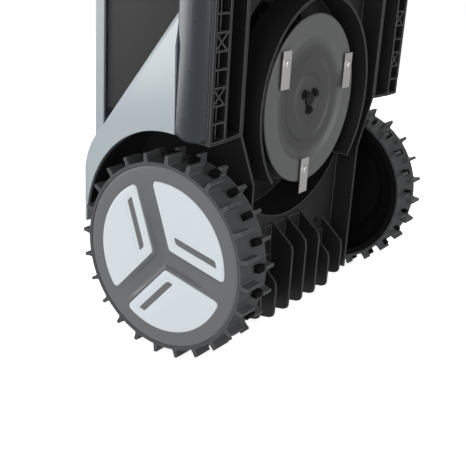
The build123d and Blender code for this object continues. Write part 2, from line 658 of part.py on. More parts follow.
def build_blade(x, y):
    """Flat blade with a bevelled long edge each side, hanging towards the rear from its pivot."""
    y0, y1 = y - PIVOT_INSET, y + BLADE_L - PIVOT_INSET
    blade = block(x - BLADE_W / 2, x + BLADE_W / 2, y0, y1, BLADE_Z, BLADE_Z + BLADE_T)
    return blade - rod_z(2.6 + RUN, 0, 100, x, y)


def build_blades():
    """Three blades and the shouldered screws that they turn on."""
    screws = []
    for i in range(BLADES):
        px, py = polar(PIVOT_R, PIVOT_ANGLE + 120 * i)
        x, y = px, DECK_Y + py
        parts["blade_%d" % (i + 1)] = build_blade(x, y)
        screw = rod_z(4.2, BLADE_Z - 2.4, BLADE_Z - 0.3, x, y)
        screw = fillet(screw.edges().sort_by(Axis.Z)[0], 1.2)
        screw += rod_z(2.6, BLADE_Z - 0.4, BLADE_Z + BLADE_T + 0.3, x, y)
        screw += rod_z(2, BLADE_Z, 68, x, y)
        screws.append(screw)
    parts["blade_screws"] = Compound(children=screws)


def build_deck():
    """Housing, blade motor and everything that spins under it."""
    parts["deck_housing"] = build_deck_housing()
    motor = rod_z(MOTOR_R, DECK_TOP, DECK_TOP + 36, 0, DECK_Y)
    motor = fillet(motor.edges().sort_by(Axis.Z)[-1], 3)
    parts["blade_motor"] = motor - rod_z(SHAFT_R + RUN, DECK_TOP - 1, DECK_TOP + 30, 0, DECK_Y)
    parts["motor_shaft"] = rod_z(SHAFT_R, 67, DECK_TOP + 28, 0, DECK_Y)
    parts["blade_disc"] = build_disc()
    parts["disc_hub"] = build_disc_hub()
    parts["hub_screws"] = build_hub_screws()
    build_blades()


# ---- front: bumper, casters, camera -----------------------------------------------------------
def bumper_plan(inset, rear):
    """Rounded nose in plan."""
    half = BUMPER_HALF - inset
    front = -HALF_L + inset
    radius = 72.0 - inset
    points = [(half, rear)]
    for a in range(0, 91, 10):
        points.append((half - radius + radius * math.cos(math.radians(a)),
                       front + radius - radius * math.sin(math.radians(a))))
    return points + [(-x, y) for x, y in reversed(points)]


def build_bumper():
    """Wrap-round front bumper, open behind and underneath, with sleeves for its guide pins."""
    bumper = prism_z(bumper_plan(0, BUMPER_REAR), BUMPER_Z0, BUMPER_Z1)
    bumper = fillet(bumper.faces().sort_by(Axis.Z)[-1].edges().filter_by(
        lambda edge: edge.center().Y < BUMPER_REAR - 1), 4)
    bumper -= prism_z(bumper_plan(4.5, BUMPER_REAR + 10), BUMPER_Z0 - 1, BUMPER_Z1 - 4.5)
    bumper -= prism_z(bumper_plan(13, BUMPER_REAR + 30), BUMPER_Z0, BUMPER_Z1 + 1)
    for side in (-1, 1):
        bumper += rod_y(GUIDE_R + 4, -HALF_L + 3, -HALF_L + 18, side * GUIDE_X, GUIDE_Z)
        bumper -= rod_y(GUIDE_R + RUN, GUIDE_TIP - 6, -200, side * GUIDE_X, GUIDE_Z)
        bumper -= block(side * CONTACT_X0, side * CONTACT_X1, -400, -HALF_L + 1.2, CONTACT_Z0, CONTACT_Z1)
    return bumper


def build_caster_fork():
    """Fork with its stem, a thrust washer and two legs."""
    x, y = -CASTER_X, CASTER_Y
    fork = rod_z(STEM_R, 79, BELLY_Z + 34, x, y)
    fork += rod_z(17, 78, BELLY_Z - 1, x, y)
    half = CASTER_W / 2 + 1.5
    leg = [(y - 16, 82), (y + TRAIL + 12, 82), (y + TRAIL + 10, 32), (y + TRAIL + 4, 26), (y + TRAIL - 4, 26),
           (y + TRAIL - 10, 34)]
    for inner_x in (x - half - 4, x + half):
        fork += prism_x(leg, inner_x, inner_x + 4)
    fork += block(x - half - 4, x + half + 4, y - 16, y + TRAIL + 12, 78, 82)
    fork -= rod_x(CASTER_AXLE_R, x - 40, x + 40, y + TRAIL, CASTER_R)
    return fork


def build_caster_wheel():
    """Solid wheel with a sunk web on each side."""
    x, y = -CASTER_X, CASTER_Y + TRAIL
    wheel = rod_x(CASTER_R, x - CASTER_W / 2, x + CASTER_W / 2, y, CASTER_R)
    wheel = fillet(wheel.edges(), 5)
    ring = rod_x(CASTER_R - 8, x - 20, x + 20, y, CASTER_R) - rod_x(11, x - 20, x + 20, y, CASTER_R)
    wheel -= ring - block(x - CASTER_W / 2 + 4, x + CASTER_W / 2 - 4, y - 50, y + 50, -10, 90)
    return wheel - rod_x(CASTER_AXLE_R + RUN, x - 20, x + 20, y, CASTER_R)


def build_contacts():
    """Two brass plates set into the bumper's face."""
    plates = []
    for side in (-1, 1):
        x0, x1 = side * (CONTACT_X0 + GAP), side * (CONTACT_X1 - GAP)
        plates.append(block(x0, x1, -HALF_L + 0.1, -HALF_L + 1.2, CONTACT_Z0 + GAP, CONTACT_Z1 - GAP))
    return Compound(children=plates)


def build_camera():
    """Dark window in the nose, with two round lenses."""
    window = block(-WINDOW_HALF + GAP, WINDOW_HALF - GAP, -293, -286, WINDOW_Z0 + GAP, WINDOW_Z1 - GAP)
    window = fillet(window.edges().filter_by(Axis.Y), 6)
    middle = (WINDOW_Z0 + WINDOW_Z1) / 2
    lenses = []
    for side in (-1, 1):
        window -= rod_y(10, -300, -291, side * LENS_X, middle)
        lens = rod_y(10 - GAP, -294.5, -291, side * LENS_X, middle)
        lenses.append(fillet(lens.edges().sort_by(Axis.Y)[0], 3))
    parts["camera_window"] = window
    parts["camera_lenses"] = Compound(children=lenses)


def build_front():
    """Bumper on its pins, casters and camera."""
    parts["front_bumper"] = build_bumper()
    parts["charging_contacts"] = build_contacts()
    guides = [rod_y(GUIDE_R, GUIDE_TIP, TUB_FRONT, side * GUIDE_X, GUIDE_Z) for side in (-1, 1)]
    parts["bumper_guides"] = Compound(children=guides)
    pair("caster_fork", build_caster_fork())
    pair("caster_wheel", build_caster_wheel())
    pair("caster_axle", rod_x(CASTER_AXLE_R, -CASTER_X - 17, -CASTER_X + 17, CASTER_Y + TRAIL, CASTER_R))
    build_camera()


# ---- inside -----------------------------------------------------------------------------------
def build_inside():
    """Drive units, battery, circuit board and axle bearings."""
    floor = BELLY_Z + WALL
    x0, x1 = -TUB_HALF_REAR + 8.5, -72
    gearbox = block(x0, x1, AXLE_Y - 20, AXLE_Y + 55, floor + GAP, floor + 52)
    gearbox = fillet(gearbox.edges().filter_by(Axis.X), 8)
    gearbox -= rod_x(AXLE_R + RUN, -130, -75, AXLE_Y, AXLE_Z)
    pair("drive_gearbox", gearbox)
    pair("drive_motor", rod_x(18, x1, -18, AXLE_Y + 30, floor + 24))
    battery = block(-85, 85, 130, 270, 156, 216)
    parts["battery_pack"] = fillet(battery.edges().filter_by(Axis.Z), 6)
    board = block(-80, 80, -230, -110, 148, 150) + block(-40, 40, -200, -150, 150, 160)
    parts["main_board"] = board
    parts["axle_bearings"] = build_bearings()


def build_screws():
    """Cross-head screws under the belly."""
    screws = []
    for side in (-1, 1):
        head = rod_z(3.6, BELLY_Z - 2, BELLY_Z, side * BELLY_SCREW_X, BELLY_SCREW_Y)
        screws.append(head + rod_z(2.1, BELLY_Z - 0.5, BELLY_Z + 2.2, side * BELLY_SCREW_X, BELLY_SCREW_Y))
    return Compound(children=screws)


# ---- everything -------------------------------------------------------------------------------
build_rear_wheels()
parts["chassis_tub"] = build_tub()
parts["rear_comb"] = build_comb()
parts["belly_screws"] = build_screws()
parts["top_cover"] = build_cover()
build_sides()
build_controls()
build_deck()
build_front()
build_inside()

os.makedirs("parts", exist_ok=True)
for name, shape in parts.items():
    export_step(shape, "parts/" + name + ".step")
print(len(parts), "nodes written")
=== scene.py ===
import math

import bmesh
import bpy
from mathutils import Matrix, Vector
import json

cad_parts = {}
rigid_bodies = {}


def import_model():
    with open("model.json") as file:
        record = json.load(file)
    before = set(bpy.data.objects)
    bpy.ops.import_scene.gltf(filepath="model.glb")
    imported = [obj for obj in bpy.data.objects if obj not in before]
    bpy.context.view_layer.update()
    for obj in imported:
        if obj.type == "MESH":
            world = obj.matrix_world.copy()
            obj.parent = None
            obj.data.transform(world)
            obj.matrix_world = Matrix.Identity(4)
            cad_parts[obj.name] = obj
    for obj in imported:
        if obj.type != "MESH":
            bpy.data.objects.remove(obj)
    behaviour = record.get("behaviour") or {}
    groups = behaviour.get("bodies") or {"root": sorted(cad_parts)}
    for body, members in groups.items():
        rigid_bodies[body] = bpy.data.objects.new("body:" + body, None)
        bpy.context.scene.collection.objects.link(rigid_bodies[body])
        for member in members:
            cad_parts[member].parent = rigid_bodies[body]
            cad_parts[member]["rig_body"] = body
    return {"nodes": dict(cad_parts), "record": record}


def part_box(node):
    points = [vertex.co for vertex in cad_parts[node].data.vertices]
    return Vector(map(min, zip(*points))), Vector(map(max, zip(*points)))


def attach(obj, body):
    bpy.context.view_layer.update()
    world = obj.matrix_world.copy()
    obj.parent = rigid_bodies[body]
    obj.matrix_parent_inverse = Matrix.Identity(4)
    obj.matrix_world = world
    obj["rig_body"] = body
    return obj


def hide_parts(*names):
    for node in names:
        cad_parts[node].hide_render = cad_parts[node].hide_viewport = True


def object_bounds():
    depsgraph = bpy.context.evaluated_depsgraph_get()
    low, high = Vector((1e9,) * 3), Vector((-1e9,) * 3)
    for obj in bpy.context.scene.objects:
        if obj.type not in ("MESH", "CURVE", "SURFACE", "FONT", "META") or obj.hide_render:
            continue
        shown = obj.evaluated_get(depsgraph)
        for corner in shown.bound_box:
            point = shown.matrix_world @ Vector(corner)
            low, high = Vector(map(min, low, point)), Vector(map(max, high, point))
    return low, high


# Robotic lawn mower: looks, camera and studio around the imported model. Metres, +Z up, nose towards -Y.
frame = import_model()
cad_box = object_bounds()
nodes = frame["nodes"]
MM = 0.001
SIDES = {"right": -1, "left": 1}
SIXTY = math.radians(60)
WHITE = (1, 1, 1, 1)
NODE_SHARP = math.radians(28)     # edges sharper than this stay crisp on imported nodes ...
FENDER_SHARP = math.radians(30)   # ... on the fenders ...
PIECE_SHARP = math.radians(32)    # ... and on new pieces

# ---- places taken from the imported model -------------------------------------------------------
shaft_low, shaft_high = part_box("axle_shaft_right")
axle = (shaft_low + shaft_high) / 2
AXLE_Y, AXLE_Z = axle.y, axle.z
WHEEL_OUT = -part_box("tyre_right")[0].x
disc_low, disc_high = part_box("blade_disc")
DISC_Y = (disc_low.y + disc_high.y) / 2
DISC_R = (disc_high.x - disc_low.x) / 2

# ---- wheel cap ---------------------------------------------------------------------------------
SEAT_R = 97.4 * MM        # outer radius of the cap
CAP_T = 7.9 * MM          # the cap's back lies this deep in the wheel ...
CAP_FACE = 0.3 * MM       # ... and its face this deep
# side of the cap, from its back to its face: depth and radius
CAP_EDGE = [(CAP_T, SEAT_R), (1.6 * MM, SEAT_R), (0.8 * MM, SEAT_R - 0.4 * MM),
            (CAP_FACE, SEAT_R - 1.4 * MM)]
FACE_R = 81.6 * MM        # outer radius of the pockets for the inserts
CORNER = 4.5 * MM         # corner radius of pads, pockets and inserts
POCKET = 1.3 * MM         # depth of a pocket under its pad
PAD_HALF = 11.4 * MM      # half-width between the pockets, across a spoke
# wall of a pad: millimetres from the middle of the spoke, and share of the spoke's depth there
WALL_STEPS = [(5.0, 1.0), (5.8, 0.96), (6.6, 0.82), (7.6, 0.5), (8.6, 0.18), (9.4, 0.04), (10.4, 0.0)]
DISH_DEPTH = 2.9 * MM     # the whole cap sinks towards the axle ...
VALLEY_DEPTH = 4.4 * MM   # ... and the spokes sink further
VALLEY_START = 34.0 * MM  # the spokes rise to the ring between these radii
VALLEY_END = 86.0 * MM
ROUND = 144               # steps round the cap
FILL_STEP = 5.0 * MM      # triangles of the dished faces are split down to about this ...
FILL_SPLITS = 3           # ... in at most this many rounds
SPOKE_ANGLE = math.radians(41.5)
SECTOR_ANGLES = [SPOKE_ANGLE + math.radians(60 + 120 * i) for i in range(3)]

# ---- inserts in the cap ------------------------------------------------------------------------
INSERT_RISE = 0.25 * MM   # the inserts stand this proud of the pads
INSERT_GAP = 0.2 * MM     # gap between an insert and its pocket
# chamfered side of an insert, and the hollow round its slot: distance from the outline, and depth
EDGE_STEPS = [(0.0, 1.5 * MM), (0.0, 0.7 * MM), (0.2 * MM, 0.35 * MM), (0.95 * MM, 0.0)]
HOLLOW_STEPS = [(5.4 * MM, 0.0), (4.2 * MM, 0.12 * MM), (2.2 * MM, 0.75 * MM), (0.9 * MM, 0.9 * MM),
                (0.5 * MM, 0.72 * MM), (0.0, 0.95 * MM), (0.0, 1.45 * MM)]
SLOT_L = 55.0 * MM
SLOT_W = 7.0 * MM
SLOT_OFF = 25.5 * MM      # slot's centre line from the spoke's
SLOT_START = 11.0 * MM    # slot's inner end from the axle, along the spoke
SLOT_RADII = [2.4 * MM, 2.2 * MM, 2.2 * MM, 3.4 * MM]   # of its inner, outer, outer and inner corner

# ---- crease of the rear fenders ----------------------------------------------------------------
CREASE_FOOT = (0, -28.0 * MM, 98.6 * MM)   # the crease runs from here, on the bottom edge ...
CREASE_TOP = (0, 60.0 * MM, 196.0 * MM)    # ... up to the bend
FOLD_IN = 2.2 * MM        # the forward bottom corner moves in by this ...
FOLD_OUT = 3.0 * MM       # ... and the crease's foot moves out by this
FOLD_NEAR = 1.5 * MM      # points this near the bottom edge and outer face take part
FOLD_GAP = 5.0 * MM       # the folded corner begins this far ahead of the crease's foot
FOOT_NEAR = 2.0 * MM      # points this near the foot, along the machine, belong to it
FLAT = math.radians(0.5)  # faces that meet within this angle are one flat face


# ---- materials ---------------------------------------------------------------------------------
def new_material(name):
    """Material with a Principled shader; returns it with its node tree and shader."""
    material = bpy.data.materials.new(name)
    material.use_nodes = True
    tree = material.node_tree
    shader = tree.nodes["Principled BSDF"]
    return material, tree, shader


def noise(tree, scale, detail=3.0, stretch=(1, 1, 1)):
    """Noise over the object's own coordinates, stretched along its axes."""
    place = tree.nodes.new("ShaderNodeTexCoord")
    mapping = tree.nodes.new("ShaderNodeMapping")
    mapping.inputs["Scale"].default_value = stretch
    texture = tree.nodes.new("ShaderNodeTexNoise")
    texture.inputs["Scale"].default_value = scale
    texture.inputs["Detail"].default_value = detail
    tree.links.new(place.outputs["Object"], mapping.inputs["Vector"])
    tree.links.new(mapping.outputs["Vector"], texture.inputs["Vector"])
    return texture.outputs["Fac"]


def spread(tree, value, low, high, start=0.3, end=0.7):
    """Map a 0-1 texture value to a range."""
    ranger = tree.nodes.new("ShaderNodeMapRange")
    ranger.inputs["From Min"].default_value = start
    ranger.inputs["From Max"].default_value = end
    ranger.inputs["To Min"].default_value = low
    ranger.inputs["To Max"].default_value = high
    tree.links.new(value, ranger.inputs["Value"])
    return ranger.outputs["Result"]


def mix_colour(tree, factor, first, second):
    """Blend of two colours; each is a colour or a socket."""
    mixer = tree.nodes.new("ShaderNodeMix")
    mixer.data_type = "RGBA"
    for socket, colour in ((mixer.inputs["A"], first), (mixer.inputs["B"], second)):
        if isinstance(colour, tuple):
            socket.default_value = (*colour, 1)
        else:
            tree.links.new(colour, socket)
    tree.links.new(factor, mixer.inputs["Factor"])
    return mixer.outputs["Result"]


def scaled(colour, factor):
    return tuple(min(1.0, channel * factor) for channel in colour)


def edge_mask(tree, radius):
    """1 on convex and concave edges within a radius, 0 elsewhere."""
    rounded = tree.nodes.new("ShaderNodeBevel")
    rounded.samples = 4
    rounded.inputs["Radius"].default_value = radius
    geometry = tree.nodes.new("ShaderNodeNewGeometry")
    product = tree.nodes.new("ShaderNodeVectorMath")
    product.operation = "DOT_PRODUCT"
    tree.links.new(rounded.outputs["Normal"], product.inputs[0])
    tree.links.new(geometry.outputs["Normal"], product.inputs[1])
    return spread(tree, product.outputs["Value"], 1.0, 0.0, start=0.86, end=0.99)


def surface(tree, shader, grain, depth, radius):
    """Fine moulded grain as bump, over edges that are softened within a radius."""
    bump = tree.nodes.new("ShaderNodeBump")
    bump.inputs["Strength"].default_value = 1.0
    bump.inputs["Distance"].default_value = depth
    tree.links.new(grain, bump.inputs["Height"])
    if radius:
        rounded = tree.nodes.new("ShaderNodeBevel")
        rounded.samples = 4
        rounded.inputs["Radius"].default_value = radius
        tree.links.new(rounded.outputs["Normal"], bump.inputs["Normal"])
    tree.links.new(bump.outputs["Normal"], shader.inputs["Normal"])


def plastic(name, colour, rough, grain=1400.0, depth=0.02 * MM, tone=0.06, soft=0.5 * MM, specular=0.4,
            coat=0.0, edge=1.35, wear_and_highlight_width=0.7 * MM):
    """Moulded plastic or rubber: grain, faint colour and gloss variation, and lightened edges that are
    partly worn and partly painted highlight.
    """
    material, tree, shader = new_material(name)
    wide = noise(tree, 14.0, 4.0)
    body = mix_colour(tree, wide, scaled(colour, 1 - tone), scaled(colour, 1 + tone))
    # Edges lightened by 'edge' within the given width: partly worn plastic, partly painted highlight
    # standing in for light catching the rounded edges.
    worn_and_highlit = mix_colour(tree, edge_mask(tree, wear_and_highlight_width), body, scaled(colour, edge))
    tree.links.new(worn_and_highlit, shader.inputs["Base Color"])
    patches = noise(tree, 60.0, 3.0)
    gloss = spread(tree, patches, rough * 0.94, rough * 1.06, start=0.2, end=0.8)
    tree.links.new(gloss, shader.inputs["Roughness"])
    shader.inputs["Specular IOR Level"].default_value = specular
    shader.inputs["Coat Weight"].default_value = coat
    shader.inputs["Coat Roughness"].default_value = 0.12
    surface(tree, shader, noise(tree, grain, 2.0), depth, soft)
    return material


def metal(name, colour, rough, stretch=(1, 1, 1), grain=500.0, depth=0.01 * MM):
    """Metal with a directional grind and small gloss changes."""
    material, tree, shader = new_material(name)
    lines = noise(tree, grain, 3.0, stretch)
    body = mix_colour(tree, lines, scaled(colour, 0.9), scaled(colour, 1.08))
    tree.links.new(body, shader.inputs["Base Color"])
    tree.links.new(spread(tree, lines, rough - 0.06, rough + 0.08), shader.inputs["Roughness"])
    shader.inputs["Metallic"].default_value = 1.0
    surface(tree, shader, lines, depth, 0.25 * MM)
    return material


def glass(name, colour):
    """Dark coated lens glass with a faint bloom of colour."""
    material, tree, shader = new_material(name)
    body = mix_colour(tree, noise(tree, 30.0, 2.0), colour, scaled(colour, 1.6))
    tree.links.new(body, shader.inputs["Base Color"])
    shader.inputs["Roughness"].default_value = 0.06
    shader.inputs["Coat Weight"].default_value = 1.0
    shader.inputs["Coat Roughness"].default_value = 0.03
    surface(tree, shader, noise(tree, 200.0, 1.0), 0.002 * MM, 0)
    return material


def disc_plastic(name):
    """Satin grey disc, darker in its sunk middle than on its ring."""
    material, tree, shader = new_material(name)
    place = tree.nodes.new("ShaderNodeTexCoord")
    flat = tree.nodes.new("ShaderNodeVectorMath")
    flat.operation = "MULTIPLY_ADD"
    flat.inputs[1].default_value = (1, 1, 0)
    flat.inputs[2].default_value = (0, -DISC_Y, 0)
    length = tree.nodes.new("ShaderNodeVectorMath")
    length.operation = "LENGTH"
    tree.links.new(place.outputs["Object"], flat.inputs[0])
    tree.links.new(flat.outputs["Vector"], length.inputs[0])
    ring = spread(tree, length.outputs["Value"], 0.0, 1.0, start=0.6 * DISC_R, end=0.74 * DISC_R)
    middle = mix_colour(tree, noise(tree, 40.0), (0.052, 0.053, 0.054), (0.068, 0.069, 0.07))
    tree.links.new(mix_colour(tree, ring, middle, (0.112, 0.114, 0.116)), shader.inputs["Base Color"])
    tree.links.new(spread(tree, noise(tree, 90.0), 0.38, 0.46), shader.inputs["Roughness"])
    shader.inputs["Specular IOR Level"].default_value = 0.35
    surface(tree, shader, noise(tree, 1300.0), 0.012 * MM, 2.5 * MM)
    return material


def circuit_board(name):
    """Green solder mask with paler copper tracks under it."""
    material, tree, shader = new_material(name)
    tracks = tree.nodes.new("ShaderNodeTexVoronoi")
    tracks.distance = "MANHATTAN"
    tracks.inputs["Scale"].default_value = 160.0
    place = tree.nodes.new("ShaderNodeTexCoord")
    tree.links.new(place.outputs["Object"], tracks.inputs["Vector"])
    lines = spread(tree, tracks.outputs["Distance"], 0.0, 1.0, start=0.55, end=0.6)
    mask = mix_colour(tree, lines, (0.02, 0.12, 0.05), (0.05, 0.2, 0.08))
    tree.links.new(mask, shader.inputs["Base Color"])
    shader.inputs["Roughness"].default_value = 0.35
    surface(tree, shader, lines, 0.02 * MM, 0.3 * MM)
    return material


def body_materials():
    """Plastics of the shell, tub and bumper."""
    return {
        "shell_grey": plastic("shell_grey", (0.345, 0.39, 0.415), 0.33, grain=1800, depth=0.006 * MM,
                              tone=0.02, soft=0.6 * MM, specular=0.5, edge=1.1),
        "slate_gloss": plastic("slate_gloss", (0.016, 0.021, 0.029), 0.28, grain=1500, depth=0.003 * MM,
                               tone=0.05, soft=4.5 * MM, specular=0.45, edge=1.0),
        # edge=16.0 lightens the black chassis edges far beyond its own colour: painted highlights along the
        # edges.
        "chassis_black": plastic("chassis_black", (0.0115, 0.0115, 0.012), 0.46, grain=1200, tone=0.1,
                                 soft=0.7 * MM, specular=0.35, edge=16.0, wear_and_highlight_width=1.1 * MM),
        "bumper_black": plastic("bumper_black", (0.02, 0.02, 0.021), 0.55, grain=900, depth=0.04 * MM,
                                tone=0.1),
    }


def wheel_materials():
    """Rubber and plastics of the rear wheels and casters, and the steel of their shafts."""
    return {
        # edge=2.7 lightens the cleat and tread edges: partly worn rubber, partly painted highlight.
        "tyre_rubber": plastic("tyre_rubber", (0.058, 0.06, 0.062), 0.6, grain=1100, depth=0.03 * MM,
                               tone=0.08, soft=0.6 * MM, specular=0.25, edge=2.7, wear_and_highlight_width=1.2 * MM),
        "rim_black": plastic("rim_black", (0.004, 0.004, 0.004), 0.75, grain=1200, tone=0.1, soft=0.6 * MM,
                             specular=0.08),
        "cap_grey": plastic("cap_grey", (0.125, 0.129, 0.134), 0.42, grain=1500, depth=0.012 * MM, tone=0.04,
                            soft=0, specular=0.35),
        "insert_silver": plastic("insert_silver", (0.6, 0.65, 0.685), 0.3, grain=1800, depth=0.004 * MM,
                                 tone=0.015, soft=0, specular=0.5, coat=0.15, edge=1.0),
        "caster_grey": plastic("caster_grey", (0.05, 0.05, 0.052), 0.65, grain=1000, depth=0.04 * MM,
                               tone=0.1),
        "shaft_steel": metal("shaft_steel", (0.6, 0.6, 0.6), 0.3, (1, 12, 12)),
    }


def cutter_materials():
    """Blade disc, its hub, screws and blades."""
    return {
        "disc_grey": disc_plastic("disc_grey"),
        "hub_black": plastic("hub_black", (0.006, 0.006, 0.006), 0.35, grain=1200, tone=0.1),
        "screw_black": metal("screw_black", (0.05, 0.05, 0.052), 0.35),
        "blade_steel": metal("blade_steel", (0.78, 0.765, 0.75), 0.42, (12, 1, 1)),
    }


def works_materials():
    """Motors, gearboxes, battery and circuit board inside the shell."""
    return {
        "motor_metal": metal("motor_metal", (0.4, 0.4, 0.41), 0.4, (1, 1, 10)),
        "gearbox_black": plastic("gearbox_black", (0.03, 0.03, 0.03), 0.5),
        "battery_case": plastic("battery_case", (0.06, 0.06, 0.065), 0.5),
        "board_green": circuit_board("board_green"),
    }


def control_materials():
    """Control panel, stop button, keys, knob, camera window and charging contacts."""
    return {
        "panel_black": plastic("panel_black", (0.01, 0.01, 0.011), 0.18, grain=1500, depth=0.004 * MM,
                               tone=0.05, specular=0.5, coat=0.5),
        "stop_red": plastic("stop_red", (0.5, 0.02, 0.015), 0.32, grain=1500, depth=0.01 * MM, tone=0.05,
                            specular=0.5),
        "key_grey": plastic("key_grey", (0.09, 0.09, 0.095), 0.6),
        "knob_grey": plastic("knob_grey", (0.05, 0.05, 0.055), 0.5),
        "window_black": plastic("window_black", (0.006, 0.006, 0.007), 0.12, grain=1500, depth=0.002 * MM,
                                tone=0.05, soft=0.4 * MM, specular=0.5, coat=0.8),
        "lens_glass": glass("lens_glass", (0.02, 0.03, 0.06)),
        "contact_brass": metal("contact_brass", (0.85, 0.66, 0.3), 0.25, (1, 1, 8)),
    }


def make_materials():
    """One material for each of the record's finish slots."""
    return {**body_materials(), **wheel_materials(), **cutter_materials(), **works_materials(),
            **control_materials()}


def paint_nodes(materials):
    """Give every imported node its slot's material, and smooth shading between its sharp edges."""
    for subpart in frame["record"]["subparts"]:
        thing = nodes[subpart["node"]]
        thing.data.materials.clear()
        thing.data.materials.append(materials[subpart["material_slot"]])
        thing.data.shade_smooth()
        thing.data.set_sharp_from_angle(angle=NODE_SHARP)


# ---- mesh helpers ------------------------------------------------------------------------------
def add_mesh(name, points, faces, material):
    """Mesh object from points and faces, smooth except across sharp edges."""
    mesh = bpy.data.meshes.new(name)
    mesh.from_pydata([tuple(p) for p in points], [], faces)
    tidy = bmesh.new()
    tidy.from_mesh(mesh)
    bmesh.ops.remove_doubles(tidy, verts=tidy.verts, dist=1e-6)
    bmesh.ops.recalc_face_normals(tidy, faces=tidy.faces)
    tidy.to_mesh(mesh)
    tidy.free()
    mesh.shade_smooth()
    mesh.set_sharp_from_angle(angle=PIECE_SHARP)
    mesh.materials.append(material)
    thing = bpy.data.objects.new(name, mesh)
    bpy.context.scene.collection.objects.link(thing)
    return thing


def loft(rings, first=0):
    """Faces between closed rings of equal length, numbered from 'first'."""
    faces = []
    count = len(rings[0])
    for row in range(len(rings) - 1):
        for i in range(count):
            a = first + row * count + i
            b = first + row * count + (i + 1) % count
            faces.append((a, b, b + count, a + count))
    return faces


def fill_between(outer, holes):
    """Small triangles of a flat region with holes, from (u, v) outlines. Returns points and faces."""
    flat = bmesh.new()
    for ring in [outer] + holes:
        corners = [flat.verts.new((u, v, 0)) for u, v in ring]
        for i, corner in enumerate(corners):
            flat.edges.new((corner, corners[(i + 1) % len(corners)]))
    bmesh.ops.triangle_fill(flat, edges=flat.edges[:], use_beauty=True)
    for _ in range(FILL_SPLITS):
        inner = [e for e in flat.edges if not e.is_boundary and e.calc_length() > FILL_STEP]
        bmesh.ops.subdivide_edges(flat, edges=inner, cuts=1)
        bmesh.ops.triangulate(flat, faces=flat.faces[:])
    flat.verts.index_update()
    points = [(v.co.x, v.co.y) for v in flat.verts]
    faces = [tuple(v.index for v in f.verts) for f in flat.faces]
    flat.free()
    return points, faces


def add_rings(points, faces, rings):
    """Add closed rings, and the faces between them, to a mesh in the making."""
    faces.extend(loft(rings, len(points)))
    for ring in rings:
        points.extend(ring)


def add_patch(points, faces, patch, patch_faces):
    """Add points and the faces that join them to a mesh in the making."""
    faces.extend(tuple(len(points) + i for i in face) for face in patch_faces)
    points.extend(patch)


def stands_for(piece, node):
    """Ride the new piece on the node's body, in the node's place."""
    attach(piece, nodes[node]["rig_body"])
    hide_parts(node)


# ---- wheel caps --------------------------------------------------------------------------------
def sector(spoke_half, radius, corner, arc_steps=28, side_steps=14, corner_steps=6):
    """Rounded third of a disc about the +U axis, as (u, v) points with a fixed count."""
    swing = SIXTY - math.asin((spoke_half + corner) / (radius - corner))
    points = []

    def arc(centre, size, start, end, steps):
        for i in range(steps + 1):
            turn = start + (end - start) * i / steps
            points.append((centre[0] + size * math.cos(turn), centre[1] + size * math.sin(turn)))

    def side(first, last):
        for i in range(1, side_steps):
            share = i / side_steps
            points.append((first[0] + (last[0] - first[0]) * share, first[1] + (last[1] - first[1]) * share))

    outer = ((radius - corner) * math.cos(swing), (radius - corner) * math.sin(swing))
    apex = ((spoke_half + corner) / math.sin(SIXTY), 0)
    normal = (corner * math.cos(math.radians(150)), corner * math.sin(math.radians(150)))
    arc((outer[0], -outer[1]), corner, math.radians(-150), -swing, corner_steps)
    arc((0, 0), radius, -swing + 0.01, swing - 0.01, arc_steps)
    arc(outer, corner, swing, math.radians(150), corner_steps)
    side(points[-1], (apex[0] + normal[0], apex[1] + normal[1]))
    arc(apex, corner, math.radians(150), math.radians(210), corner_steps)
    side(points[-1], points[0])
    return points


def on_wheel(side, depth, u, v, turn):
    """Point of a wheel face: (u, v) about the axle turned by an angle, 'depth' inside the outer face."""
    y = u * math.cos(turn) - v * math.sin(turn)
    z = u * math.sin(turn) + v * math.cos(turn)
    return Vector((side * (WHEEL_OUT - depth), AXLE_Y + y, AXLE_Z + z))


def valley(u, v):
    """Depth of the sunk spokes under the pads: deepest at the axle, level with the ring outside."""
    share = min(1.0, max(0.0, (math.hypot(u, v) - VALLEY_START) / (VALLEY_END - VALLEY_START)))
    return VALLEY_DEPTH * (1 - share * share * (3 - 2 * share))


def dish(u, v):
    """Depth of the pads and inserts under the wheel's outer face, as a shallow cone."""
    return CAP_FACE + DISH_DEPTH * max(0.0, 1 - math.hypot(u, v) / VALLEY_END)


def turned(outline, turn):
    """Outline turned about the origin."""
    cos, sin = math.cos(turn), math.sin(turn)
    return [(u * cos - v * sin, u * sin + v * cos) for u, v in outline]


def circle(radius, steps):
    """Circle about the origin, as (u, v) points."""
    return [(radius * math.cos(2 * math.pi * i / steps), radius * math.sin(2 * math.pi * i / steps))
            for i in range(steps)]


def wall_outline(half):
    """Outline of a pad's wall where it is 'half' millimetres from the middle of the spoke."""
    return sector(half * MM, FACE_R + (PAD_HALF - half * MM) * 0.12, CORNER)


def pad_rings(side, turn):
    """Wall of one pad, from the spokes' floor up to the pad's edge and down into its pocket."""
    rings = [[on_wheel(side, dish(u, v) + share * valley(u, v), u, v, turn) for u, v in wall_outline(half)]
             for half, share in WALL_STEPS]
    return rings + [in_pocket(side, sector(PAD_HALF, FACE_R, CORNER), turn)]


def in_pocket(side, outline, turn):
    """Points of an outline on the floor of one pocket."""
    return [on_wheel(side, dish(u, v) + POCKET, u, v, turn) for u, v in outline]


def flat_ring(side, radius, depth):
    """Circle of points about the axle, all at one depth."""
    return [on_wheel(side, depth, u, v, 0.0) for u, v in circle(radius, ROUND)]


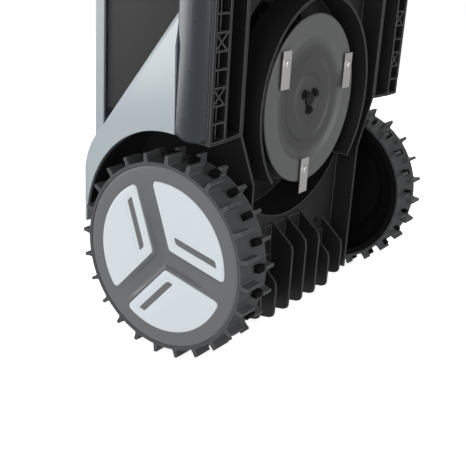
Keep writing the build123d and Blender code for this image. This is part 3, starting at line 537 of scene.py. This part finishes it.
def build_cap(name, side, material):
    """Cap: flat ring, three sunk spokes with soft walls, and a pocket in each raised pad."""
    points, faces = [], []
    add_rings(points, faces, [flat_ring(side, radius, depth) for depth, radius in CAP_EDGE])
    for turn in SECTOR_ANGLES:
        add_rings(points, faces, pad_rings(side, turn))
        floor, floor_faces = fill_between(sector(PAD_HALF, FACE_R, CORNER), [])
        add_patch(points, faces, in_pocket(side, floor, turn), floor_faces)
    holes = [turned(wall_outline(WALL_STEPS[0][0]), turn) for turn in SECTOR_ANGLES]
    front, front_faces = fill_between(circle(CAP_EDGE[-1][1], ROUND), holes)
    sunk = [on_wheel(side, dish(u, v) + valley(u, v), u, v, 0) for u, v in front]
    add_patch(points, faces, sunk, front_faces)
    add_patch(points, faces, flat_ring(side, SEAT_R, CAP_T), [tuple(range(ROUND))])
    return add_mesh(name, points, faces, material)


def slot_outline(grow):
    """Slot along a spoke, its ends cut parallel to the insert's other spoke."""
    half = SLOT_W / 2 + grow
    slant = 1 / math.tan(SIXTY)
    start, end = SLOT_START - grow, SLOT_START + SLOT_L + grow
    corners = [(start - half * slant, -half), (end - half * slant, -half), (end + half * slant, half),
               (start + half * slant, half)]
    radii = [radius + grow for radius in SLOT_RADII]
    slot = [(along, across - SLOT_OFF) for along, across in round_corners(corners, radii, 5)]
    return turned(slot, SIXTY)


def round_corners(corners, radii, steps):
    """Closed outline with each corner rounded by a quadratic curve."""
    points = []
    count = len(corners)
    for i, (corner, radius) in enumerate(zip(corners, radii)):
        here = Vector(corner)
        before = (Vector(corners[i - 1]) - here).normalized()
        after = (Vector(corners[(i + 1) % count]) - here).normalized()
        first, last = here + before * radius, here + after * radius
        for step in range(steps + 1):
            t = step / steps
            points.append(tuple(first * (1 - t) ** 2 + here * (2 * t * (1 - t)) + last * t ** 2))
    return points


def insert_outline(inset):
    """Outline of an insert, drawn in by 'inset'."""
    return sector(PAD_HALF + INSERT_GAP + inset, FACE_R - INSERT_GAP - inset, CORNER)


def on_insert(side, outline, depth, turn):
    """Points of an outline on one insert, 'depth' under its face."""
    return [on_wheel(side, dish(u, v) - INSERT_RISE + depth, u, v, turn) for u, v in outline]


def add_insert(points, faces, side, turn):
    """One insert: its sides, the hollow with its slot, the slot's floor, the face and the back."""
    sides = [on_insert(side, insert_outline(inset), depth, turn) for inset, depth in EDGE_STEPS]
    hollow = [on_insert(side, slot_outline(grow), depth, turn) for grow, depth in HOLLOW_STEPS]
    add_rings(points, faces, sides)
    add_rings(points, faces, hollow)
    faces.append(tuple(range(len(points) - len(hollow[-1]), len(points))))
    rim = insert_outline(EDGE_STEPS[-1][0])
    top, top_faces = fill_between(rim, [slot_outline(HOLLOW_STEPS[0][0])])
    add_patch(points, faces, on_insert(side, top, 0.0, turn), top_faces)
    back, back_faces = fill_between(insert_outline(0.0), [])
    add_patch(points, faces, on_insert(side, back, EDGE_STEPS[0][1], turn), back_faces)


def build_insert(name, side, material, floor_material):
    """Three pale inserts with chamfered edges, each with a slot in a soft hollow."""
    points, faces = [], []
    for turn in SECTOR_ANGLES:
        add_insert(points, faces, side, turn)
    piece = add_mesh(name, points, faces, material)
    piece.data.materials.append(floor_material)
    floor_corners = len(slot_outline(0.0))
    for polygon in piece.data.polygons:
        if len(polygon.vertices) == floor_corners:
            polygon.material_index = 1
    return piece


def build_wheel_faces(materials):
    """Cap and inserts of both rear wheels."""
    for word, side in SIDES.items():
        cap = build_cap("cap_" + word, side, materials["cap_grey"])
        stands_for(cap, "hub_cap_" + word)
        insert = build_insert("inserts_" + word, side, materials["insert_silver"], materials["cap_grey"])
        stands_for(insert, "hub_insert_" + word)


# ---- rear fenders ------------------------------------------------------------------------------
def cut_crease(shell):
    """Split the fender's faces along the crease."""
    foot, top = Vector(CREASE_FOOT), Vector(CREASE_TOP)
    across = Vector((0, top.z - foot.z, foot.y - top.y))
    bmesh.ops.bisect_plane(shell, geom=shell.verts[:] + shell.edges[:] + shell.faces[:], dist=1e-6,
                           plane_co=foot, plane_no=across)


def fold_corner(shell, side):
    """Move the forward bottom corner in, and the foot of the crease out."""
    foot = Vector(CREASE_FOOT)
    outer = max(abs(v.co.x) for v in shell.verts) - FOLD_NEAR
    for v in shell.verts:
        low = abs(v.co.z - foot.z) < FOLD_NEAR and abs(v.co.x) > outer
        if low and v.co.y < foot.y - FOLD_GAP:
            v.co.x -= side * FOLD_IN
        elif low and abs(v.co.y - foot.y) < FOOT_NEAR:
            v.co.x += side * FOLD_OUT


def build_fender(word, side, material):
    """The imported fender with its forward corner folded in, along a crease that runs up to the bend."""
    mesh = nodes["rear_fender_" + word].data.copy()
    shell = bmesh.new()
    shell.from_mesh(mesh)
    bmesh.ops.dissolve_limit(shell, angle_limit=FLAT, verts=shell.verts, edges=shell.edges)
    cut_crease(shell)
    fold_corner(shell, side)
    bmesh.ops.triangulate(shell, faces=shell.faces[:])
    shell.to_mesh(mesh)
    shell.free()
    mesh.shade_smooth()
    mesh.set_sharp_from_angle(angle=FENDER_SHARP)
    mesh.materials.clear()
    mesh.materials.append(material)
    piece = bpy.data.objects.new("fender_" + word, mesh)
    bpy.context.scene.collection.objects.link(piece)
    return piece


def build_fenders(materials):
    """Both rear fenders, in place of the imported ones."""
    for word, side in SIDES.items():
        fender = build_fender(word, side, materials["shell_grey"])
        stands_for(fender, "rear_fender_" + word)


# ---- studio ------------------------------------------------------------------------------------
BRIGHT_SIDE = (-0.7, 0.45, -0.55)   # direction towards the room's bright side
ROOM_DIM = 0.05
ROOM_BRIGHT = 0.95
PAPER_GLOW = 0.76
PAPER_HALF = 3.0
PAPER_DROP = 0.5 * MM               # the paper lies this far off the machine
LIGHT_TARGET = (0, 0.1, 0.1)
# name, place, size and power of each softbox
LIGHTS = [("roof_light", (-0.6, -0.1, 1.55), 0.9, 14),
          ("nose_light", (0.1, -1.8, 0.6), 1.2, 4),
          ("side_light", (-1.6, -0.4, 0.0), 1.0, 8),
          ("belly_light", (0.3, -0.5, -1.4), 1.0, 9),
          ("far_light", (1.7, 0.0, 0.55), 1.2, 13)]


def stage_material(name, glow):
    """White paper that catches soft shadows, clear from behind."""
    material = bpy.data.materials.new(name)
    material.use_nodes = True
    tree = material.node_tree
    tree.nodes.clear()
    out = tree.nodes.new("ShaderNodeOutputMaterial")
    paper = tree.nodes.new("ShaderNodeBsdfDiffuse")
    paper.inputs["Color"].default_value = (0.9, 0.9, 0.9, 1)
    light = tree.nodes.new("ShaderNodeEmission")
    light.inputs["Strength"].default_value = glow
    both = tree.nodes.new("ShaderNodeAddShader")
    clear = tree.nodes.new("ShaderNodeBsdfTransparent")
    facing = tree.nodes.new("ShaderNodeNewGeometry")
    choice = tree.nodes.new("ShaderNodeMixShader")
    tree.links.new(paper.outputs["BSDF"], both.inputs[0])
    tree.links.new(light.outputs["Emission"], both.inputs[1])
    tree.links.new(facing.outputs["Backfacing"], choice.inputs["Fac"])
    tree.links.new(both.outputs["Shader"], choice.inputs[1])
    tree.links.new(clear.outputs["BSDF"], choice.inputs[2])
    tree.links.new(choice.outputs["Shader"], out.inputs["Surface"])
    return material


def add_sheet(name, half, matrix, material):
    """Big square of paper that only the camera sees, so that it lights nothing and blocks no light."""
    corners = [(-half, -half, 0), (half, -half, 0), (half, half, 0), (-half, half, 0)]
    sheet = add_mesh(name, corners, [(0, 1, 2, 3)], material)
    sheet.matrix_world = matrix
    sheet.visible_diffuse = False
    sheet.visible_glossy = False
    sheet.visible_transmission = False
    sheet.visible_shadow = False
    return sheet


def build_world():
    """White behind the machine; a room that is bright beside the near wheel and dim on the far side."""
    world = bpy.data.worlds.new("studio")
    bpy.context.scene.world = world
    world.use_nodes = True
    tree = world.node_tree
    room = tree.nodes["Background"]
    room.inputs["Color"].default_value = WHITE
    place = tree.nodes.new("ShaderNodeTexCoord")
    product = tree.nodes.new("ShaderNodeVectorMath")
    product.operation = "DOT_PRODUCT"
    product.inputs[1].default_value = Vector(BRIGHT_SIDE).normalized()
    tree.links.new(place.outputs["Generated"], product.inputs[0])
    strength = spread(tree, product.outputs["Value"], ROOM_DIM, ROOM_BRIGHT, start=-0.6, end=0.9)
    tree.links.new(strength, room.inputs["Strength"])
    seen = tree.nodes.new("ShaderNodeBackground")
    seen.inputs["Color"].default_value = WHITE
    path = tree.nodes.new("ShaderNodeLightPath")
    choice = tree.nodes.new("ShaderNodeMixShader")
    tree.links.new(path.outputs["Is Camera Ray"], choice.inputs["Fac"])
    tree.links.new(room.outputs["Background"], choice.inputs[1])
    tree.links.new(seen.outputs["Background"], choice.inputs[2])
    tree.links.new(choice.outputs["Shader"], tree.nodes["World Output"].inputs["Surface"])


def build_studio():
    """Ground under the wheels, and an upright sheet that the tail stands on in the main view."""
    low, high = cad_box
    paper = stage_material("paper", PAPER_GLOW)
    add_sheet("ground", PAPER_HALF, Matrix.Translation((0, 0, low.z - PAPER_DROP)), paper)
    upright = Matrix.Translation((0, high.y + PAPER_DROP, 0)) @ Matrix.Rotation(math.radians(90), 4, "X")
    add_sheet("tail_ground", PAPER_HALF, upright, paper)
    build_world()
    bpy.context.scene.view_settings.view_transform = "Standard"


def add_light(name, place, target, size, power):
    """Square softbox that looks at a point."""
    lamp = bpy.data.lights.new(name, "AREA")
    lamp.size = size
    lamp.energy = power
    thing = bpy.data.objects.new(name, lamp)
    thing.location = place
    thing.rotation_euler = (Vector(target) - Vector(place)).to_track_quat("-Z", "Y").to_euler()
    bpy.context.scene.collection.objects.link(thing)


def build_lights():
    """Softboxes above the roof, ahead of the nose, beside each wheel and towards the belly."""
    for name, place, size, power in LIGHTS:
        add_light(name, place, LIGHT_TARGET, size, power)


# ---- camera ------------------------------------------------------------------------------------
CAMERA_PLACE = (-0.83232, -0.14424, -0.40816)
CAMERA_FORWARD = (0.7747, 0.3479, 0.5280)
CAMERA_RIGHT = (0.5799, -0.0581, -0.8126)
FOCAL_LENGTH = 65.58      # millimetres, for a sensor 36 mm wide


def build_camera():
    """The camera looks up at the belly from the machine's right, rolled so that the tail is down."""
    place = Vector(CAMERA_PLACE)
    forward = Vector(CAMERA_FORWARD).normalized()
    right = Vector(CAMERA_RIGHT)
    right = (right - forward * right.dot(forward)).normalized()
    up = right.cross(forward)
    lens = bpy.data.cameras.new("camera")
    lens.sensor_width = 36.0
    lens.lens = FOCAL_LENGTH
    lens.clip_start = 0.01
    camera = bpy.data.objects.new("camera", lens)
    bpy.context.scene.collection.objects.link(camera)
    turn = Matrix((right, up, -forward)).transposed().to_4x4()
    camera.matrix_world = Matrix.Translation(place) @ turn
    bpy.context.scene.camera = camera


# ---- everything --------------------------------------------------------------------------------
finishes = make_materials()
paint_nodes(finishes)
build_wheel_faces(finishes)
build_fenders(finishes)
build_studio()
build_lights()
build_camera()

bpy.context.view_layer.update()
